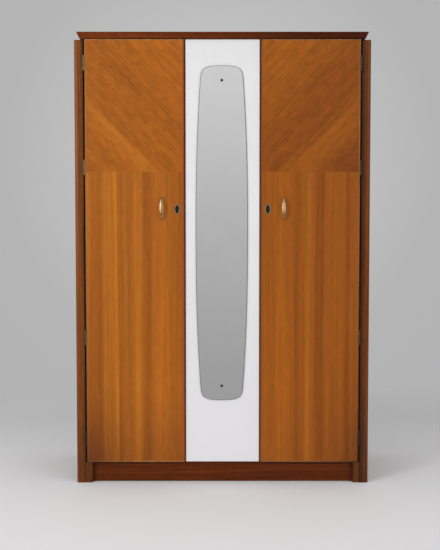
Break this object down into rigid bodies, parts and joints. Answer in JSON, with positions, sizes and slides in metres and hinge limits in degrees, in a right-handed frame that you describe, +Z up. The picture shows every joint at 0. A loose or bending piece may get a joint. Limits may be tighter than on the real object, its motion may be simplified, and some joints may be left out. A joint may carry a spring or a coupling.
{
  "type": "wardrobe",
  "caption": "Tall free-standing wardrobe with paired veneered doors, dark front posts and a white centre panel carrying a barrel-shaped mirror.",
  "frame": {"origin": "on the floor under the centre of the wardrobe, handles included", "axes": "+Z up, +X to the right seen from the front, +Y to the back; the doors face -Y"},
  "size_m": [1.17, 0.54, 1.79],
  "materials": {
    "dark_wood": "dark brown stained hardwood, satin varnish",
    "interior_wood": "plain plywood and softwood, light satin",
    "hardboard": "brown hardboard, matt",
    "white_laminate": "white decorative laminate, smooth satin gloss",
    "mirror": "silvered glass",
    "dark_metal": "black enamelled",
    "steel": "bright zinc plated",
    "brass": "satin brass, slightly dulled",
    "handle_brass": "polished pale brass",
    "bronze": "dark bronzed metal",
    "brown_plastic": "brown moulded plastic",
    "lipping_wood": "solid hardwood edge, satin varnish",
    "crossed_veneer": "teak-toned veneer, grain on the slant, satin varnish",
    "upright_veneer": "teak-toned veneer, grain upright, satin varnish"
  },
  "bodies": {
    "carcass": {"top_board": "dark_wood", "left_side_panel": "dark_wood", "right_side_panel": "dark_wood", "left_post": "dark_wood", "right_post": "dark_wood", "foot_blocks": "dark_wood", "bottom_board": "interior_wood", "plinth_front": "dark_wood", "plinth_back": "interior_wood", "top_front_rail": "interior_wood", "top_back_rail": "interior_wood", "back_panels": "hardboard", "back_muntin": "interior_wood", "centre_stiles": "interior_wood", "centre_cross_rails": "interior_wood", "centre_panel": "interior_wood", "centre_laminate": "white_laminate", "centre_lippings": "dark_wood", "mirror_glass": "mirror", "mirror_washers": "dark_metal", "mirror_screws": "dark_metal", "hat_shelf": "interior_wood", "shelf_battens": "interior_wood", "hanging_rail": "steel", "rail_sockets": "steel", "rail_bracket": "steel", "strike_plates": "brass", "magnetic_catches": "brown_plastic", "hinge_frame_leaves": "brass", "hinge_frame_screws": "brass", "hinge_pins": "steel"},
    "left_door": {"left_door_core": "interior_wood", "left_door_lippings": "lipping_wood", "left_upper_veneer": "crossed_veneer", "left_lower_veneer": "upright_veneer", "left_back_veneer": "interior_wood", "left_handle": "handle_brass", "left_handle_screws": "steel", "left_escutcheon": "bronze", "left_lock_case": "brass", "left_lock_screws": "brass", "left_catch_plate": "steel", "left_hinge_leaves": "brass", "left_hinge_screws": "brass"},
    "left_bolt": {"left_lock_bolt": "steel"},
    "right_door": {"right_door_core": "interior_wood", "right_door_lippings": "lipping_wood", "right_upper_veneer": "crossed_veneer", "right_lower_veneer": "upright_veneer", "right_back_veneer": "interior_wood", "right_handle": "handle_brass", "right_handle_screws": "steel", "right_escutcheon": "bronze", "right_lock_case": "brass", "right_lock_screws": "brass", "right_catch_plate": "steel", "right_hinge_leaves": "brass", "right_hinge_screws": "brass"},
    "right_bolt": {"right_lock_bolt": "steel"}
  },
  "joints": [
    {"name": "left_door_hinge", "type": "hinge", "parent": "carcass", "child": "left_door", "pos_m": [-0.5465, -0.248, 0.924], "axis": [0, 0, -1], "range_deg": [0, 170]},
    {"name": "right_door_hinge", "type": "hinge", "parent": "carcass", "child": "right_door", "pos_m": [0.5465, -0.248, 0.924], "axis": [0, 0, 1], "range_deg": [0, 170]},
    {"name": "left_bolt_slide", "type": "slide", "parent": "left_door", "child": "left_bolt", "axis": [1, 0, 0], "range_m": [0, 0.009]},
    {"name": "right_bolt_slide", "type": "slide", "parent": "right_door", "child": "right_bolt", "axis": [-1, 0, 0], "range_m": [0, 0.009]}
  ]
}
